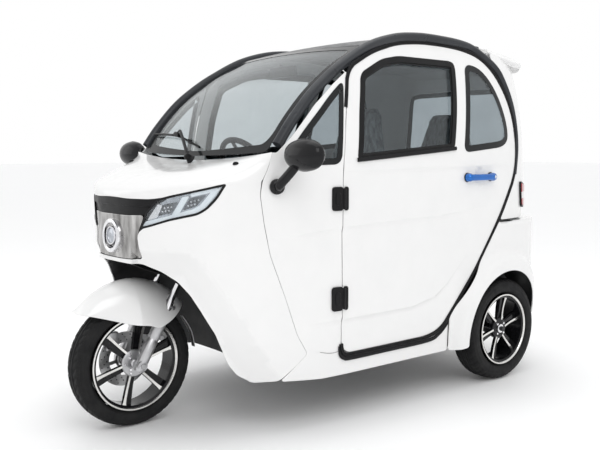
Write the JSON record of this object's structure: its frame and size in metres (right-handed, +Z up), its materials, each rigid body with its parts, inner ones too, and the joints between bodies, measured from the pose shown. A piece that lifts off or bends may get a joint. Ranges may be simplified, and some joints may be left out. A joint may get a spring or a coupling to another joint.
{
  "type": "enclosed three-wheel mobility scooter",
  "caption": "Enclosed cabin mobility scooter with a raked front fork, swinging doors with drop windows, tandem seats and a sprung rear axle.",
  "frame": {"origin": "on the ground under the middle of the overall length and width", "axes": "+Z up; the front faces -Y; the scooter's own left is +X"},
  "size_m": [1.47, 2.36, 1.623],
  "materials": {
    "white_paint": "glossy white moulded panels",
    "black_plastic": "satin black",
    "dark_trim": "dark grey grained",
    "black_paint": "gloss black cast wheel with machined faces",
    "silver_alloy": "silver painted casting",
    "chrome": "polished",
    "smoked_chrome": "dark bright-plated plastic",
    "tyre_rubber": "matt black",
    "clear_glass": "clear",
    "blue_metal": "metallic blue",
    "seat_vinyl": "dark grey vinyl and fabric",
    "red_lens": "clear red lens",
    "frame_steel": "black painted steel",
    "steel": "bare steel",
    "lamp_lens": "clear lens"
  },
  "bodies": {
    "body": {"chassis_frame": "frame_steel", "floor_pan": "dark_trim", "front_cowl": "white_paint", "wheel_well_liner": "black_plastic", "nose_grille": "black_plastic", "nose_panel": "smoked_chrome", "left_headlamp": "lamp_lens", "right_headlamp": "lamp_lens", "left_side_frame": "white_paint", "right_side_frame": "white_paint", "left_quarter_window": "clear_glass", "right_quarter_window": "clear_glass", "windscreen": "clear_glass", "left_roof_rail": "dark_trim", "right_roof_rail": "dark_trim", "roof_panel": "white_paint", "rear_body": "white_paint", "rear_window": "clear_glass", "rear_fenders": "white_paint", "left_tail_lamp": "red_lens", "right_tail_lamp": "red_lens", "dashboard": "dark_trim", "front_seat_base": "dark_trim", "front_seat_cushion": "seat_vinyl", "front_seat_back": "seat_vinyl", "rear_seat_cushion": "seat_vinyl", "rear_seat_back": "seat_vinyl", "battery_pack": "black_plastic", "left_coil_over": "chrome", "right_coil_over": "chrome"},
    "steering": {"fork_yoke": "silver_alloy"},
    "fork_lowers": {"left_fork_slider": "silver_alloy", "right_fork_slider": "silver_alloy", "front_axle": "steel", "front_fender": "white_paint", "brake_caliper": "silver_alloy"},
    "front_wheel": {"front_rim": "black_paint", "front_tyre": "tyre_rubber", "brake_disc": "steel"},
    "steering_wheel": {"steering_wheel": "black_plastic"},
    "rear_suspension": {"rear_axle": "frame_steel"},
    "wiper": {"wiper": "black_plastic"},
    "interior_mirror": {"interior_mirror": "black_plastic"},
    "brake_pedal": {"brake_pedal": "frame_steel"},
    "left_door": {"left_door_shell": "white_paint", "left_door_trim": "dark_trim", "left_rear_door_glass": "clear_glass"},
    "left_window": {"left_drop_glass": "clear_glass"},
    "left_handle": {"left_door_handle": "blue_metal"},
    "left_rear_wheel": {"left_rear_rim": "black_paint", "left_rear_tyre": "tyre_rubber"},
    "left_mirror": {"left_mirror": "black_plastic"},
    "right_door": {"right_door_shell": "white_paint", "right_door_trim": "dark_trim", "right_rear_door_glass": "clear_glass"},
    "right_window": {"right_drop_glass": "clear_glass"},
    "right_handle": {"right_door_handle": "blue_metal"},
    "right_rear_wheel": {"right_rear_rim": "black_paint", "right_rear_tyre": "tyre_rubber"},
    "right_mirror": {"right_mirror": "black_plastic"}
  },
  "joints": [
    {"name": "steering_turn", "type": "hinge", "parent": "body", "child": "steering", "pos_m": [0, -0.67333, 0.63332], "axis": [0, 0.497, 0.8678], "range_deg": [-35, 35]},
    {"name": "steering_wheel_turn", "type": "hinge", "parent": "body", "child": "steering_wheel", "pos_m": [0, -0.324, 1.015], "axis": [0, 0.8395, 0.5433], "range_deg": [-35, 35]},
    {"name": "fork_travel", "type": "slide", "parent": "steering", "child": "fork_lowers", "axis": [0, 0.497, 0.8678], "range_m": [0, 0.045], "stiffness_N_per_m": 20000, "springref_m": -0.06},
    {"name": "front_wheel_spin", "type": "hinge", "parent": "fork_lowers", "child": "front_wheel", "pos_m": [0, -0.924, 0.256], "axis": [1, 0, 0], "continuous": true},
    {"name": "rear_axle_travel", "type": "slide", "parent": "body", "child": "rear_suspension", "axis": [0, 0, 1], "range_m": [0, 0.05], "stiffness_N_per_m": 40000, "springref_m": -0.06, "deforming": ["left_coil_over", "right_coil_over"]},
    {"name": "wiper_sweep", "type": "hinge", "parent": "body", "child": "wiper", "pos_m": [0.07, -0.672, 1.0725], "axis": [-0.04, -0.7877, 0.6148], "range_deg": [-50, 0]},
    {"name": "interior_mirror_tilt", "type": "hinge", "parent": "body", "child": "interior_mirror", "pos_m": [0, -0.129, 1.475], "axis": [1, 0, 0], "range_deg": [-12, 12]},
    {"name": "brake_pedal_press", "type": "hinge", "parent": "body", "child": "brake_pedal", "pos_m": [0.13, -0.424, 0.338], "axis": [1, 0, 0], "range_deg": [0, 18], "stiffness_Nm_per_rad": 10, "springref_deg": -20.05},
    {"name": "left_door_swing", "type": "hinge", "parent": "body", "child": "left_door", "pos_m": [0.572, -0.284, 0.7], "axis": [0, 0, -1], "range_deg": [0, 65]},
    {"name": "left_window_drop", "type": "hinge", "parent": "left_door", "child": "left_window", "pos_m": [-1.051, 0.136, 1.02], "axis": [0, 1, 0], "range_deg": [0, 7.5]},
    {"name": "left_handle_pull", "type": "hinge", "parent": "left_door", "child": "left_handle", "pos_m": [0.5638, 0.478, 0.985], "axis": [0, 0, -1], "range_deg": [0, 20], "stiffness_Nm_per_rad": 3, "springref_deg": -11.46},
    {"name": "left_rear_wheel_spin", "type": "hinge", "parent": "rear_suspension", "child": "left_rear_wheel", "pos_m": [0.505, 0.779, 0.246], "axis": [1, 0, 0], "continuous": true},
    {"name": "left_mirror_fold", "type": "hinge", "parent": "body", "child": "left_mirror", "pos_m": [0.54, -0.572, 0.972], "axis": [0, 0, 1], "range_deg": [0, 30]},
    {"name": "right_door_swing", "type": "hinge", "parent": "body", "child": "right_door", "pos_m": [-0.572, -0.284, 0.7], "axis": [0, 0, 1], "range_deg": [0, 65]},
    {"name": "right_window_drop", "type": "hinge", "parent": "right_door", "child": "right_window", "pos_m": [1.051, 0.136, 1.02], "axis": [0, -1, 0], "range_deg": [0, 7.5]},
    {"name": "right_handle_pull", "type": "hinge", "parent": "right_door", "child": "right_handle", "pos_m": [-0.5638, 0.478, 0.985], "axis": [0, 0, 1], "range_deg": [0, 20], "stiffness_Nm_per_rad": 3, "springref_deg": -11.46},
    {"name": "right_rear_wheel_spin", "type": "hinge", "parent": "rear_suspension", "child": "right_rear_wheel", "pos_m": [-0.505, 0.779, 0.246], "axis": [1, 0, 0], "continuous": true},
    {"name": "right_mirror_fold", "type": "hinge", "parent": "body", "child": "right_mirror", "pos_m": [-0.54, -0.572, 0.972], "axis": [0, 0, -1], "range_deg": [0, 30]}
  ],
  "couplings": [
    {"joint": "steering_wheel_turn", "follows": "steering_turn", "ratio": 1}
  ]
}
